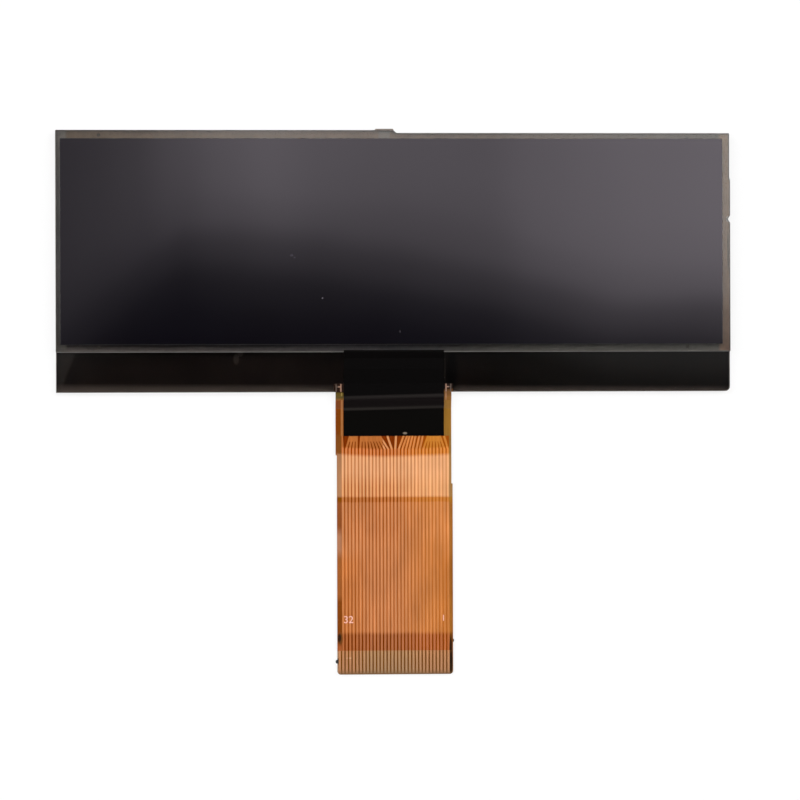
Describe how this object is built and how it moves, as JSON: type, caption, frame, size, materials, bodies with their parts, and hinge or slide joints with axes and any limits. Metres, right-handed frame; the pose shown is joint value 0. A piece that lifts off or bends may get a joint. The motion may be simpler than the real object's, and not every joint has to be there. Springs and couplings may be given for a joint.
{
  "type": "bar lcd module",
  "caption": "Flat bar-shaped chip-on-glass LCD panel with a contact ledge, a black tape over its driver and a bonded flexible flat tail.",
  "frame": {"origin": "middle of the rear glass outline, on the back face of the rear polariser, on which the module lies", "axes": "+X to the right as the display is read, +Y to the top edge, away from the tail, +Z out of the display face"},
  "size_m": [0.096, 0.0776, 0.0018],
  "materials": {
    "rear_polariser_film": "dark grey polariser film, satin",
    "cell_glass": "clear soda-lime glass, polished faces and cut edges",
    "seal_epoxy": "cured grey-brown epoxy",
    "liquid_crystal": "thin liquid layer, dark between the polarisers",
    "silver_paste": "cured conductive paste",
    "end_seal_resin": "cured clear-grey resin bead",
    "front_polariser_film": "near-black polariser film, fine anti-glare surface",
    "black_film": "black light-shield film",
    "silicon": "ground silicon die",
    "bonding_film": "cured conductive adhesive film",
    "polyimide_base": "amber polyimide film, satin",
    "plated_copper": "copper fingers with a thin gold plating",
    "bare_copper": "rolled copper foil",
    "polyimide_coverlay": "amber polyimide film over copper tracks, satin",
    "stiffener_glue": "thermosetting adhesive sheet",
    "stiffener_film": "thick amber-brown polyimide sheet",
    "black_tape": "black polyester tape, satin"
  },
  "bodies": {
    "root": {"rear_polariser": "rear_polariser_film", "rear_glass": "cell_glass", "perimeter_seal": "seal_epoxy", "liquid_crystal": "liquid_crystal", "transfer_dots": "silver_paste", "end_seal": "end_seal_resin", "front_glass": "cell_glass", "front_polariser": "front_polariser_film", "ledge_shade": "black_film", "driver_chip": "silicon", "chip_bond": "bonding_film", "tail_bond": "bonding_film", "base_film": "polyimide_base", "front_copper": "plated_copper", "rear_copper": "bare_copper", "front_coverlay": "polyimide_coverlay", "rear_coverlay_head": "polyimide_coverlay", "rear_coverlay_run": "polyimide_coverlay", "stiffener_glue": "stiffener_glue", "stiffener": "stiffener_film", "cover_tape": "black_tape"}
  },
  "joints": []
}
